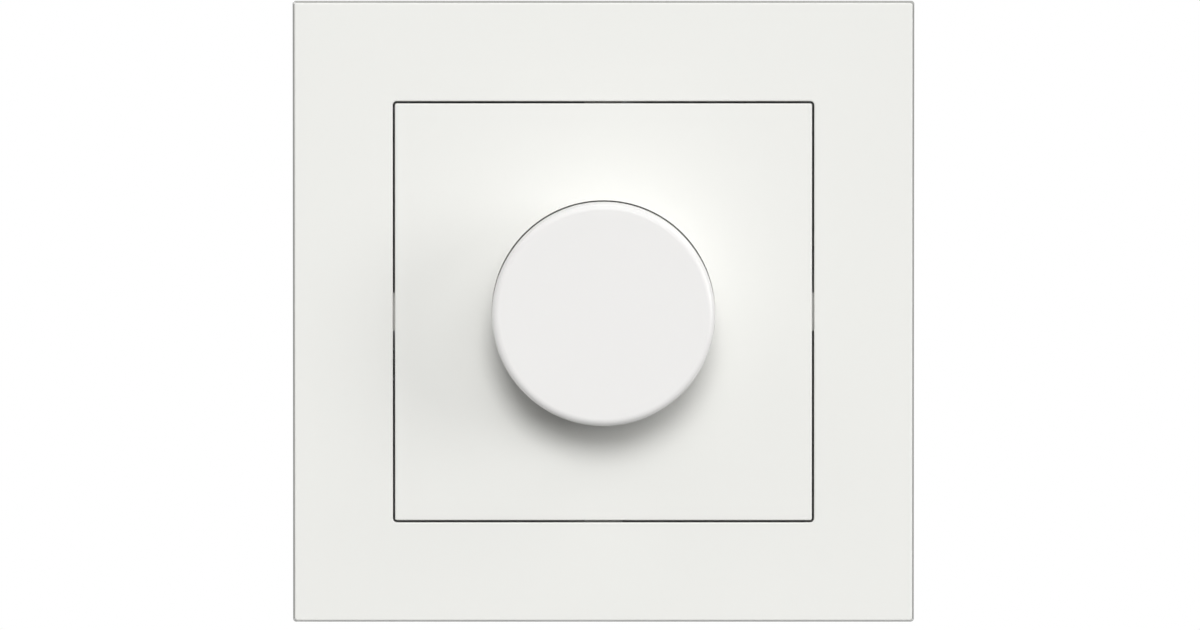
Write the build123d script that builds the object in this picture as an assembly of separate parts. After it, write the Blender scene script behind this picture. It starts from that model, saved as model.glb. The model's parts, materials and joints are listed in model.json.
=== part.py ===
from build123d import *
import os
from math import cos, radians, sin, sqrt

# A rotary push dimmer for a flush wall box. The front is a square cover frame, a square centre plate
# level with it and a round knob. A steel mounting plate lies on the wall and carries the insert: a
# potentiometer with a push switch, its electronics and three push-in wire terminals.
# Everything is worked out with X to the right, Y up the wall and Z out of the wall, and the wall's face at
# Z 0. The finished pieces are then turned so that Z is up the wall and -Y is out of it.

# Front: centre plate, cover frame and knob
plate_width = 54.6
plate_gap = 0.275  # open line between the centre plate and the cover frame
plate_front = 2.2
plate_corner_radius = 0.25
plate_edge_radius = 0.2
plate_skirt = 1.2
plate_skirt_depth = 2.4
plate_skirt_gap = 0.3
plate_rib = 1.0
plate_rib_depth = 1.6
frame_border = 13.175  # from the opening to the outside
frame_wall = 2.0
frame_front = 2.0
frame_corner_radius = 0.4
frame_edge_radius = 0.2
frame_slope = 0.32  # how far the outer sides lean in at the front
frame_slope_depth = 2.5
frame_rest = 1.5  # depth of the ribs at each side's middle that the centre plate's rim rests on
frame_rest_reach = 1.5
frame_rest_length = 5.0
frame_collar = 1.6
frame_collar_gap = 0.6  # between the collar and the claw screws' heads
frame_rib = 1.0
frame_rib_place = 18.0
frame_rib_gap = 0.3  # between the ribs and the mounting plate
knob_diameter = 28.9
knob_height = 14.0  # above the centre plate
knob_edge_radius = 0.95
knob_rim_radius = 0.3
knob_wall = 1.8
knob_front = 2.0
knob_skirt = 2.0  # how far the knob's rim stands in the centre plate's well
knob_hub_diameter = 10.0
knob_ribs = 6
knob_rib = 1.0
knob_slit = 1.0
knob_slit_depth = 6.0
knob_clip_thickness = 0.5
knob_clip_width = 4.0
knob_clip_opening = 40.0  # degrees
well_gap = 0.15  # round the knob's rim
well_wall = 1.6
well_floor = 1.6
well_edge_radius = 0.1
push_travel = 1.5
push_room = 0.4  # left over below the knob at the end of its travel
ring_nut_diameter = 16.0
ring_nut_height = 2.5
ring_nut_notch = 2.2
nut_gap = 0.8  # between the bush nut and the centre plate

# Mounting plate and claws
mount_gap = 3.25  # between the mounting plate's edge and the cover frame's wall
mount_thickness = 1.2
mount_corner = 7.0
box_screw_spacing = 60.0
box_slot_width = 4.2
box_slot_length = 8.0
claw_place = 7.0  # the claws' middle, up on the right and down on the left
claw_thickness = 1.2
claw_width = 8.6
claw_length = 15.0  # from the pin to the foot
claw_foot = 3.7
claw_teeth = 3
claw_tooth = 1.0
claw_gap = 0.3  # between a claw and the insert housing
claw_swing = 28.0  # degrees
claw_pin_diameter = 2.0
claw_pin_depth = 6.0  # below the wall's face
claw_pin_fit = 0.04
claw_knuckle = 0.95  # wall of the rolled eye
claw_knuckle_width = 2.3
claw_ear = 1.0
claw_ear_gap = 0.2
claw_lever = 2.8  # from the pin to the screw
claw_lug_drop = 0.8
claw_lug_reach = 2.4
claw_lug_prong = 1.5
claw_slot_room = 0.2
claw_slot_inset = 1.1  # the swing brings the screw this much nearer to the pin
claw_screw_diameter = 3.0
claw_screw_length = 14.0

# Screws
screw_head_diameter = 5.6
screw_head_height = 2.0
screw_edge_radius = 0.6
screw_cross_length = 3.4
screw_cross_width = 0.7
screw_cross_depth = 1.1
housing_screw_diameter = 2.4
housing_screw_length = 9.0
screw_hole_gap = 0.2  # all round, in the mounting plate
fixed_fit = 0.05  # all round, between pieces that don't move

# Bush, shaft and potentiometer
shaft_diameter = 6.0
shaft_across = 4.5  # over the flat
shaft_clearance = 0.05
shaft_end_gap = 0.3  # between the shaft's tip and the knob's blind bore
shaft_blind = 1.2  # of the knob's hub beyond the bore
bush_diameter = 10.0
bush_fit = 0.1
bush_proud = 0.5  # beyond the ring nut
bush_flange = 1.5
bush_peg_diameter = 2.0
bush_peg_place = 9.3
bush_nut_across = 14.0
bush_nut_height = 2.0
retaining_ring_thickness = 0.6
retaining_ring_width = 2.0
retaining_ring_gap = 0.1
retaining_ring_opening = 100.0  # degrees
retaining_groove = 0.5  # depth
pot_diameter = 24.0
pot_wall = 1.0
pot_floor = 1.4
rotor_gap = 0.5
rotor_diameter = 18.6
rotor_thickness = 2.0
rotor_turn = 280.0  # degrees
rotor_stop_lug = 12.0  # degrees
rotor_stop = 60.0  # degrees
rotor_stop_depth = 1.0
rotor_stop_gap = 0.3
rotor_stop_room = 0.4
wiper_height = 1.05
wiper_width = 2.4
wiper_thickness = 0.3
wiper_gap = 0.05
track_radius = 8.2
track_width = 1.6
track_thickness = 0.1
track_spread = 300.0  # degrees
wafer_thickness = 1.2
wafer_gap = 0.2
wafer_hole = 8.0
pot_pin_width = 0.9
pot_pin_thickness = 0.5
pot_pin_pitch = 4.0
pot_pin_gap = 1.2  # from the switch housing's wall
pot_pin_room = 0.2

# Push switch behind the potentiometer
switch_width = 20.0
switch_height = 16.0
switch_wall = 1.2
switch_head_gap = 0.8
plunger_head_diameter = 9.0
plunger_head = 2.0
plunger_stem_diameter = 4.6
plunger_tip_width = 1.0
plunger_tip_length = 0.8
plunger_tip_gap = 0.3  # from the rocker at the end of the travel
plunger_clearance = 0.3
plunger_guide_wall = 0.4
plunger_guide_gap = 0.2
spring_length = 3.2
spring_wire = 0.5
spring_turns = 3.0
spring_diameter = 7.2
spring_end_gap = 0.03
shelf_thickness = 0.8
rocker_gap = 0.8  # between the shelf and the rocker
rocker_length = 9.0
rocker_width = 6.0
rocker_thickness = 0.5
rocker_swing = 6.0  # degrees, each way
rocker_pin_diameter = 1.2
rocker_pin_clearance = 0.05
rocker_pin_seat = 0.6
rocker_pin_length = 1.0  # within the beam
moving_contact_thickness = 0.25
contact_diameter = 2.0
contact_gap = 0.06
contact_height = 0.15
contact_inset = 0.7
switch_base = 1.0

# Circuit board and its parts
board_thickness = 1.6
board_gap = 0.4
part_gap = 0.6  # between parts beside each other
choke_diameter = 12.4
choke_bore = 6.0
choke_height = 5.0
choke_winding = 1.0
choke_winding_gap = 0.1
choke_winding_spread = 300.0  # degrees
big_capacitor = (13.0, 6.0, 9.5)
small_capacitor = (10.0, 4.0, 7.5)
capacitor_edge_radius = 0.6
resistor_diameter = 2.4
resistor_length = 6.4
resistor_pitch = 3.6
triac_thickness = 4.5
triac_width = 10.2
triac_height = 9.0
triac_tab = 1.3
triac_tab_height = 5.6
triac_tab_hole = 3.4
triac_lead = 0.8
triac_lead_pitch = 2.54
triac_gap = 0.7  # from the potentiometer
triac_screw_diameter = 3.0
triac_screw_head = 5.4
spreader_thickness = 1.5
spreader_width = 14.0
spreader_length = 17.0
spreader_gap = 0.2
rivet_diameter = 2.4
rivet_head_diameter = 4.0
rivet_head = 0.7
rivet_place = 5.3
fuse_length = 20.0
fuse_diameter = 5.0
fuse_cap_length = 5.0
fuse_cap_wall = 0.25
fuse_place = -2.0
fuse_lift = 1.2
clip_thickness = 0.4
clip_width = 4.0
clip_gap = 0.1
trimmer_width = 8.0
trimmer_height = 5.0
trimmer_spindle_diameter = 3.0
trimmer_spindle_depth = 3.0
trimmer_clearance = 0.05
trimmer_window = 0.5
trimmer_slot = 0.6
trimmer_slot_depth = 0.8
trimmer_angle = 135.0  # degrees

# Insert housing and wire terminals
housing_wall = 1.6
housing_floor = 2.0
housing_edge_radius = 1.5
housing_choke_gap = 0.8
boss_diameter = 5.8
boss_depth = 14.0
boss_hole_room = 1.0  # beyond the screw
boss_angle = 51.0  # degrees, and the other is opposite
post_diameter = 4.0
vent_count = 5
vent_width = 1.4
vent_length = 9.0
vent_pitch = 3.6
vent_place = 12.4  # the slots' middle, above the axis
label_width = 27.0
label_height = 9.0
label_depth = 0.3
label_corner_radius = 1.0
label_place = 1.0
terminal_pitch = 9.0
terminal_width = 8.4
terminal_height = 13.2
terminal_depth = 9.7
terminal_wall = 2.8
terminal_side = 1.4
terminal_proud = 0.5
terminal_gap = 0.2
terminal_edge_radius = 0.3
wire_hole_diameter = 3.0
wire_funnel_diameter = 4.4
wire_funnel_depth = 0.8
wire_place = 3.8  # from the terminal's lower side
button_width = 4.2
button_height = 3.4
button_gap = 0.1
button_place = 3.6  # from the terminal's upper side
button_proud = 1.4
button_flange = 0.6
button_flange_thickness = 0.8
button_stem = 2.0
button_travel = 1.2
button_edge_radius = 0.5
leaf_thickness = 0.4
leaf_width = 4.0
leaf_gap = 0.1
leaf_tip_gap = 0.5
leaf_slope = 2.2
leaf_bend_radius = 0.8
busbar_thickness = 0.6
busbar_width = 4.8
busbar_length = 6.6
busbar_pin = 1.4
busbar_gap = 0.1
busbar_hole = 2.0

# Levels out of the wall
mount_top = mount_thickness
bush_nut_top = mount_top + bush_nut_height
well_floor_bottom = bush_nut_top + nut_gap
well_floor_top = well_floor_bottom + well_floor
knob_rim = well_floor_top + push_room + push_travel
plate_top = knob_rim + knob_skirt
plate_back = plate_top - plate_front
knob_top = plate_top + knob_height
ring_nut_top = well_floor_top + ring_nut_height
bush_top = ring_nut_top + bush_proud
hub_bottom = bush_top + push_travel + push_room
hub_top = knob_top - knob_front
bore_top = hub_top - shaft_blind
shaft_top = bore_top - shaft_end_gap

# Levels into the wall
flange_back = -bush_flange
ring_front = flange_back - retaining_ring_gap
ring_back = ring_front - retaining_ring_thickness
rotor_front = ring_back - push_travel - rotor_gap
rotor_back = rotor_front - rotor_thickness
wiper_back = rotor_back - wiper_height
track_front = wiper_back - wiper_gap
wafer_front = track_front - track_thickness
wafer_back = wafer_front - wafer_thickness
pot_back = wafer_back - pot_floor
switch_front = pot_back - switch_wall
plunger_front = switch_front - switch_head_gap
spring_front = plunger_front - plunger_head
shelf_front = spring_front - spring_length
shelf_back = shelf_front - shelf_thickness
rocker_front = shelf_back - rocker_gap
rocker_back = rocker_front - rocker_thickness
rocker_axis = (rocker_front + rocker_back) / 2
moving_contact_back = rocker_back - moving_contact_thickness
rocker_dip = rocker_length / 2 * sin(radians(rocker_swing))
contact_front = moving_contact_back - rocker_dip - contact_gap
base_front = contact_front - contact_height
board_front = base_front - switch_base
board_back = board_front - board_thickness
terminal_back = board_back - terminal_depth
housing_back = terminal_back + terminal_proud
housing_inside = housing_back + housing_floor
trimmer_top = board_front + trimmer_height
triac_tab_top = -spreader_thickness - part_gap
triac_body_top = triac_tab_top - triac_tab_height
triac_body_bottom = triac_body_top - triac_height
triac_screw_level = triac_tab_top - triac_tab_height / 2
cavity_back = terminal_back + terminal_wall
button_flange_front = cavity_back + button_flange_thickness
button_stem_front = button_flange_front + button_stem

# Places across the wall
frame_opening = plate_width + 2 * plate_gap
frame_width = frame_opening + 2 * frame_border
mount_width = frame_width - 2 * frame_wall - 2 * mount_gap
well_diameter = knob_diameter + 2 * well_gap
choke_outside = choke_diameter + 2 * choke_winding
choke_place = switch_height / 2 + part_gap + choke_outside / 2
inside_radius = choke_place + choke_outside / 2 + housing_choke_gap
housing_diameter = 2 * (inside_radius + housing_wall)
triac_inner = pot_diameter / 2 + triac_gap
spreader_inner = triac_inner + triac_thickness
spreader_outer = spreader_inner + spreader_thickness
inside_flat = spreader_outer + spreader_gap
housing_flat = inside_flat + housing_wall
claw_inner = housing_flat + claw_gap
knuckle_radius = claw_pin_diameter / 2 + claw_pin_fit + claw_knuckle
claw_pin_x = claw_inner + knuckle_radius
claw_screw_x = claw_pin_x + claw_lever
boss_radius = inside_radius - boss_diameter / 4
boss_places = [
    (sign * boss_radius * cos(radians(boss_angle)), sign * boss_radius * sin(radians(boss_angle)))
    for sign in (1, -1)
]
pot_pin_y = -switch_height / 2 - pot_pin_gap
big_capacitor_y = pot_pin_y - pot_pin_thickness / 2 - part_gap - big_capacitor[1] / 2
small_capacitor_y = big_capacitor_y - (big_capacitor[1] + small_capacitor[1]) / 2 - part_gap
trimmer_radius = inside_radius - board_gap - trimmer_width * sqrt(0.5)
trimmer_x = trimmer_radius * cos(radians(trimmer_angle))
trimmer_y = trimmer_radius * sin(radians(trimmer_angle))
fuse_x = -(inside_flat - clip_gap - 2 * clip_thickness - fuse_diameter / 2)
fuse_axis = board_front + clip_thickness + fuse_lift + fuse_diameter / 2
terminal_row_half = terminal_pitch + terminal_width / 2
terminal_bottom = -sqrt((inside_radius - terminal_gap) ** 2 - terminal_row_half**2)
terminal_top = terminal_bottom + terminal_height
terminal_places = (-terminal_pitch, 0.0, terminal_pitch)
wire_y = terminal_bottom + wire_place
button_y = terminal_top - button_place
busbar_y = terminal_bottom + terminal_side + busbar_gap + busbar_thickness / 2
rivet_x = (triac_inner + spreader_inner) / 2
fuse_ends = (fuse_place - fuse_length / 2, fuse_place + fuse_length / 2)
post_x = inside_flat - post_diameter / 2 - board_gap
post_low = terminal_top - post_diameter / 2
post_high = inside_radius / 2

# The rotor's lug at rest, with equal room left at both ends of its turn
full_turn = 360.0
rotor_room = (full_turn - rotor_stop - rotor_stop_lug - rotor_turn) / 2
rotor_rest = -90 - rotor_stop / 2 - rotor_stop_lug / 2 - rotor_room


def block(x0, x1, y0, y1, z0, z1):
    """A box between two corners."""
    middle = Pos((x0 + x1) / 2, (y0 + y1) / 2, (z0 + z1) / 2)
    return middle * Box(abs(x1 - x0), abs(y1 - y0), abs(z1 - z0))


def slab(size, x, y, z0, z1):
    """A box of the given width and height about a place on the wall."""
    return block(x - size[0] / 2, x + size[0] / 2, y - size[1] / 2, y + size[1] / 2, z0, z1)


def disc(diameter, z0, z1, x=0.0, y=0.0):
    """A cylinder along Z between two levels."""
    return Pos(x, y, (z0 + z1) / 2) * Cylinder(diameter / 2, abs(z1 - z0))


def ring(outer, inner, z0, z1, x=0.0, y=0.0):
    """A tube along Z between two levels."""
    return disc(outer, z0, z1, x, y) - disc(inner, z0, z1, x, y)


def bar(diameter, y0, y1, x, z):
    """A cylinder along Y between two heights."""
    return Pos(x, (y0 + y1) / 2, z) * Rot(90, 0, 0) * Cylinder(diameter / 2, abs(y1 - y0))


def square(width, z0, z1, corner=0.0):
    """A square plate about the axis, its upright edges rounded."""
    plate = block(-width / 2, width / 2, -width / 2, width / 2, z0, z1)
    return fillet(plate.edges().filter_by(Axis.Z), corner) if corner else plate


def sector(outer, inner, z0, z1, middle, spread):
    """An arc of a tube along Z, spread degrees wide about its middle angle."""
    arc = Cylinder(outer / 2, abs(z1 - z0), arc_size=spread) - Cylinder(inner / 2, abs(z1 - z0))
    return Pos(0, 0, (z0 + z1) / 2) * Rot(0, 0, middle - spread / 2) * arc


def d_bar(z0, z1, room=0.0):
    """The shaft's round bar with one flat on its upper side, grown all round by room."""
    flat = shaft_across - shaft_diameter / 2 + room
    reach = shaft_diameter
    return disc(shaft_diameter + 2 * room, z0, z1) - block(-reach, reach, flat, reach, z0, z1)


def slot(length, width, x, y, upright, z0, z1):
    """A hole with round ends about a place, lying or upright."""
    half = (length - width) / 2
    dx, dy = (0.0, half) if upright else (half, 0.0)
    size = (width, 2 * half) if upright else (2 * half, width)
    ends = disc(width, z0, z1, x - dx, y - dy) + disc(width, z0, z1, x + dx, y + dy)
    return ends + slab(size, x, y, z0, z1)


def edges_at(shape, level, reach):
    """The edges that lie flat at a level, within a distance of the axis either way."""
    near = 0.001
    return [
        edge
        for edge in shape.edges()
        if abs(edge.bounding_box().min.Z - level) < near
        and abs(edge.bounding_box().max.Z - level) < near
        and max(abs(edge.center().X), abs(edge.center().Y)) < reach + near
    ]


def pan_screw(x, y, seat, diameter, length):
    """A cross-headed screw that points into the wall, its head on a seat."""
    top = seat + screw_head_height
    head = disc(screw_head_diameter, seat, top, x, y)
    head = fillet(head.edges().group_by(Axis.Z)[-1], screw_edge_radius)
    long, wide = screw_cross_length, screw_cross_width
    cross = slab((long, wide), x, y, top - screw_cross_depth, top)
    cross += slab((wide, long), x, y, top - screw_cross_depth, top)
    return head - cross + disc(diameter, seat - length, seat, x, y)


def group(shapes):
    """Separate solids that share one name."""
    return Compound([solid for shape in shapes for solid in shape.solids()])


def half_turn(shape):
    """The same piece on the other side of the axis."""
    return Rot(0, 0, 180) * shape


# Front pieces


def cover_frame():
    """One moulding: an open box with a collar round its opening and ribs that the centre plate rests on.

    Its outer sides lean in towards the front.
    """
    inside = frame_width - 2 * frame_wall
    collar_bottom = mount_top + screw_head_height + frame_collar_gap
    shoulder = plate_top - frame_slope_depth
    outlines = [
        Pos(0, 0, level) * RectangleRounded(width, width, frame_corner_radius)
        for level, width in ((shoulder, frame_width), (plate_top, frame_width - 2 * frame_slope))
    ]
    body = square(frame_width, 0, shoulder, frame_corner_radius) + loft(outlines, ruled=True)
    body = fillet(body.edges().group_by(Axis.Z)[-1], frame_edge_radius)
    body -= square(inside, 0, plate_top - frame_front)
    body += square(frame_opening + 2 * frame_collar, collar_bottom, plate_top - frame_front)
    collar = frame_opening / 2 + frame_collar
    rib_size = (frame_rib, inside / 2 - collar)
    for place in (-frame_rib_place, frame_rib_place):
        middle = (inside / 2 + collar) / 2
        rib = slab(rib_size, place, middle, mount_top + frame_rib_gap, plate_top - frame_front)
        for n in range(4):
            body += Rot(0, 0, 90 * n) * rib
    body -= square(frame_opening, collar_bottom, plate_top, plate_corner_radius + plate_gap)
    body = fillet(edges_at(body, plate_top, frame_opening / 2), plate_edge_radius)
    reach = frame_rest_reach + frame_collar / 2
    middle = frame_opening / 2 - frame_rest_reach + reach / 2
    rest_bottom = plate_back - frame_rest
    rest = slab((frame_rest_length, reach), 0, middle, rest_bottom, plate_back)
    for n in range(4):
        body += Rot(0, 0, 90 * n) * rest
    return body


def centre_plate():
    """One moulding: a flat plate with a round well for the knob, a skirt and ribs behind."""
    skirt_width = frame_opening - 2 * frame_rest_reach - 2 * plate_skirt_gap
    skirt_bottom = plate_back - plate_skirt_depth
    body = square(plate_width, plate_back, plate_top, plate_corner_radius)
    body = fillet(body.edges().group_by(Axis.Z)[-1], plate_edge_radius)
    body += square(skirt_width, skirt_bottom, plate_back)
    body -= square(skirt_width - 2 * plate_skirt, skirt_bottom, plate_back)
    reach = skirt_width / 2 - plate_skirt / 2
    rib = block(-plate_rib / 2, plate_rib / 2, -reach, reach, plate_back - plate_rib_depth, plate_back)
    body += rib + Rot(0, 0, 90) * rib
    body += disc(well_diameter + 2 * well_wall, well_floor_bottom, plate_back)
    body -= disc(well_diameter, well_floor_top, plate_top)
    body -= disc(bush_diameter + 2 * bush_fit, well_floor_bottom, well_floor_top)
    return fillet(edges_at(body, plate_top, well_diameter / 2), well_edge_radius)


def knob():
    """One moulding: a round cap with a split hub that fits the shaft."""
    inside = knob_diameter - 2 * knob_wall
    body = disc(knob_diameter, knob_rim, knob_top)
    body = fillet(body.edges().group_by(Axis.Z)[-1], knob_edge_radius)
    body = fillet(body.edges().group_by(Axis.Z)[0], knob_rim_radius)
    body -= disc(inside, knob_rim, hub_top)
    rib_bottom = hub_bottom + knob_slit_depth
    for n in range(knob_ribs):
        rib = block(0, inside / 2 + knob_wall / 2, -knob_rib / 2, knob_rib / 2, rib_bottom, hub_top)
        body += Rot(0, 0, n * full_turn / knob_ribs) * rib
    body += disc(knob_hub_diameter, hub_bottom, hub_top)
    body -= d_bar(hub_bottom, bore_top, shaft_clearance)
    slit = slab((knob_slit, knob_hub_diameter), 0, -knob_hub_diameter / 2, hub_bottom, rib_bottom)
    return body - slit


def knob_clip():
    """A sprung steel band round the knob's split hub."""
    middle = hub_bottom + knob_slit_depth / 2
    inner = knob_hub_diameter + 2 * fixed_fit
    return sector(
        inner + 2 * knob_clip_thickness,
        inner,
        middle - knob_clip_width / 2,
        middle + knob_clip_width / 2,
        90,
        full_turn - knob_clip_opening,
    )


def ring_nut():
    """A round nut with four notches that holds the centre plate on the bush."""
    body = ring(ring_nut_diameter, bush_diameter + 2 * fixed_fit, well_floor_top, ring_nut_top)
    size = (ring_nut_notch, ring_nut_notch)
    notch = slab(size, 0, ring_nut_diameter / 2, ring_nut_top - ring_nut_height / 2, ring_nut_top)
    for n in range(4):
        body -= Rot(0, 0, 45 + 90 * n) * notch
    return body


# Bush, shaft and potentiometer


def bush():
    """The die-cast front of the potentiometer, with its neck and a peg that keeps it from turning."""
    body = disc(pot_diameter, flange_back, 0) + disc(bush_diameter, 0, bush_top)
    body += disc(bush_peg_diameter, 0, mount_top, 0, bush_peg_place)
    return body - disc(shaft_diameter + 2 * shaft_clearance, flange_back, bush_top)


def bush_nut():
    """A thin hexagon nut that clamps the bush to the mounting plate."""
    across_corners = bush_nut_across / cos(radians(30))
    hexagon = extrude(RegularPolygon(across_corners / 2, 6), bush_nut_height)
    return Pos(0, 0, mount_top) * hexagon - disc(bush_diameter + 2 * fixed_fit, mount_top, bush_nut_top)


def shaft():
    """A bar with one flat, grooved for its retaining ring."""
    groove = ring(2 * shaft_diameter, shaft_diameter - 2 * retaining_groove, ring_back, ring_front)
    return d_bar(plunger_front, shaft_top) - groove


def shaft_retaining_ring():
    """An open ring in the shaft's groove that stops it behind the bush."""
    inner = shaft_diameter - 2 * retaining_groove + 2 * fixed_fit
    outer = shaft_diameter + 2 * retaining_ring_width
    return sector(outer, inner, ring_back, ring_front, -90, full_turn - retaining_ring_opening)


def potentiometer_cup():
    """A moulded cup with a stop for the rotor."""
    inside = pot_diameter - 2 * pot_wall
    body = disc(pot_diameter, pot_back, flange_back) - disc(inside, wafer_back, flange_back)
    body += sector(
        pot_diameter - pot_wall,
        rotor_diameter + 2 * rotor_stop_gap,
        rotor_back - rotor_stop_room,
        rotor_front + rotor_stop_room,
        -90,
        rotor_stop,
    )
    body -= disc(shaft_diameter + 2 * plunger_clearance, pot_back, wafer_back)
    for x in (-pot_pin_pitch, 0, pot_pin_pitch):
        size = (pot_pin_width + 2 * pot_pin_room, pot_pin_thickness + 2 * pot_pin_room)
        body -= slab(size, x, pot_pin_y, pot_back, wafer_back)
    return body


def rotor():
    """A disc that the shaft slides through and turns, with a lug that meets the cup's stop."""
    lug_outer = rotor_diameter + 2 * rotor_stop_depth
    lug_inner = rotor_diameter - 2 * rotor_stop_depth
    body = disc(rotor_diameter, rotor_back, rotor_front)
    body += sector(lug_outer, lug_inner, rotor_back, rotor_front, rotor_rest, rotor_stop_lug)
    return body - d_bar(rotor_back, rotor_front, shaft_clearance)


def wiper():
    """A bent strip under the rotor whose tip runs on the track."""
    leaf = slab((wiper_width, wiper_width), track_radius, 0, rotor_back - wiper_thickness, rotor_back)
    tip = slab((wiper_thickness, wiper_width), track_radius, 0, wiper_back, rotor_back)
    return Rot(0, 0, rotor_rest) * (leaf + tip)


def track_wafer():
    """The round board that the resistive track is printed on."""
    inside = pot_diameter - 2 * pot_wall
    return ring(inside - 2 * wafer_gap, wafer_hole, wafer_back, wafer_front)


def resistive_track():
    """The printed arc that the wiper runs on."""
    outer = 2 * track_radius + track_width
    return sector(outer, outer - 2 * track_width, wafer_front, track_front, 90, track_spread)


def potentiometer_pins():
    """Three pins from the wafer to the circuit board."""
    size = (pot_pin_width, pot_pin_thickness)
    places = (-pot_pin_pitch, 0, pot_pin_pitch)
    return group([slab(size, x, pot_pin_y, board_front, wafer_back) for x in places])


# Push switch


def switch_housing():
    """A moulded box, open at the back, with a shelf for the return spring and a guide for the plunger."""
    outside = (switch_width, switch_height)
    inside = (switch_width - 2 * switch_wall, switch_height - 2 * switch_wall)
    body = slab(outside, 0, 0, base_front, pot_back)
    body -= slab(inside, 0, 0, shelf_front, switch_front)
    body -= slab(inside, 0, 0, base_front, shelf_back)
    body -= disc(shaft_diameter + 2 * plunger_clearance, switch_front, pot_back)
    guide = plunger_stem_diameter + 2 * plunger_clearance
    guide_top = spring_front - push_travel - plunger_guide_gap
    body += disc(guide + 2 * plunger_guide_wall, shelf_back, guide_top)
    body -= disc(guide, shelf_back, guide_top)
    seat = inside[1] / 2 + rocker_pin_seat
    pin_hole = rocker_pin_diameter + 2 * rocker_pin_clearance
    return body - bar(pin_hole, -seat, seat, 0, rocker_axis)


def switch_base_plate():
    """The switch's floor on the circuit board."""
    return slab((switch_width, switch_height), 0, 0, board_front, base_front)


def switch_plunger():
    """A headed pin that the shaft pushes, with a blade at its tip."""
    tip_back = rocker_front + push_travel + plunger_tip_gap
    stem_back = tip_back + plunger_tip_length
    body = disc(plunger_head_diameter, spring_front, plunger_front)
    body += disc(plunger_stem_diameter, stem_back, spring_front)
    return body + slab((plunger_tip_width, plunger_stem_diameter / 2), 0, 0, tip_back, stem_back)


def return_spring():
    """A wound wire spring between the shelf and the plunger's head."""
    room = spring_wire / 2 + spring_end_gap
    height = spring_length - 2 * room
    path = Pos(0, 0, shelf_front + room) * Helix(height / spring_turns, height, spring_diameter / 2)
    wire = Plane(origin=path @ 0, z_dir=path % 0) * Circle(spring_wire / 2)
    return sweep(wire, path=path, is_frenet=True)


def contact_rocker():
    """A beam on two trunnions that tips from one contact to the other."""
    body = slab((rocker_length, rocker_width), 0, 0, rocker_back, rocker_front)
    inner = rocker_width / 2 - rocker_pin_length
    outer = switch_height / 2 - switch_wall + rocker_pin_seat / 2
    for sign in (-1, 1):
        body += bar(rocker_pin_diameter, sign * inner, sign * outer, 0, rocker_axis)
    return body


def moving_contact():
    """The metal strip on each end of the rocker's underside."""
    end = rocker_length / 2
    ends = []
    for sign in (-1, 1):
        x0, x1 = sorted((sign * rocker_pin_diameter, sign * end))
        half = rocker_width / 2 - contact_inset
        ends.append(block(x0, x1, -half, half, moving_contact_back, rocker_back))
    return group(ends)


def fixed_contacts():
    """Two contact rivets on the switch's floor."""
    place = rocker_length / 2 - contact_diameter / 2
    return group([disc(contact_diameter, base_front, contact_front, sign * place, 0) for sign in (-1, 1)])


# Mounting plate and claws


def claw_ears():
    """Two ears bent back from the mounting plate that hold one claw's pin."""
    x0 = claw_inner
    x1 = claw_pin_x + knuckle_radius
    ears = []
    for sign in (-1, 1):
        inner = claw_place + sign * (claw_width / 2 + claw_ear_gap)
        outer = inner + sign * claw_ear
        y0, y1 = sorted((inner, outer))
        ear = block(x0, x1, y0, y1, -claw_pin_depth - knuckle_radius, 0)
        ears.append(ear - bar(claw_pin_diameter + claw_pin_fit, y0, y1, claw_pin_x, -claw_pin_depth))
    return ears[0] + ears[1]


def mounting_plate():
    """A stamped steel plate with slots for the box screws and holes for everything it carries."""
    body = square(mount_width, 0, mount_top)
    body = chamfer(body.edges().filter_by(Axis.Z), mount_corner)
    body -= disc(bush_diameter + 2 * bush_fit, 0, mount_top)
    body -= disc(bush_peg_diameter + 2 * bush_fit, 0, mount_top, 0, bush_peg_place)
    half = box_screw_spacing / 2
    for sign in (-1, 1):
        body -= slot(box_slot_length, box_slot_width, sign * half, 0, False, 0, mount_top)
        body -= slot(box_slot_length, box_slot_width, 0, sign * half, True, 0, mount_top)
        hole = claw_screw_diameter + 2 * screw_hole_gap
        body -= disc(hole, 0, mount_top, sign * claw_screw_x, sign * claw_place)
    for x, y in boss_places:
        body -= disc(housing_screw_diameter + 2 * screw_hole_gap, 0, mount_top, x, y)
    body -= disc(trimmer_spindle_diameter + 2 * trimmer_window, 0, mount_top, trimmer_x, trimmer_y)
    for sign in (-1, 1):
        body -= disc(rivet_diameter + 2 * fixed_fit, 0, mount_top, rivet_x, sign * rivet_place)
    ears = claw_ears()
    return body + ears + half_turn(ears)


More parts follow.
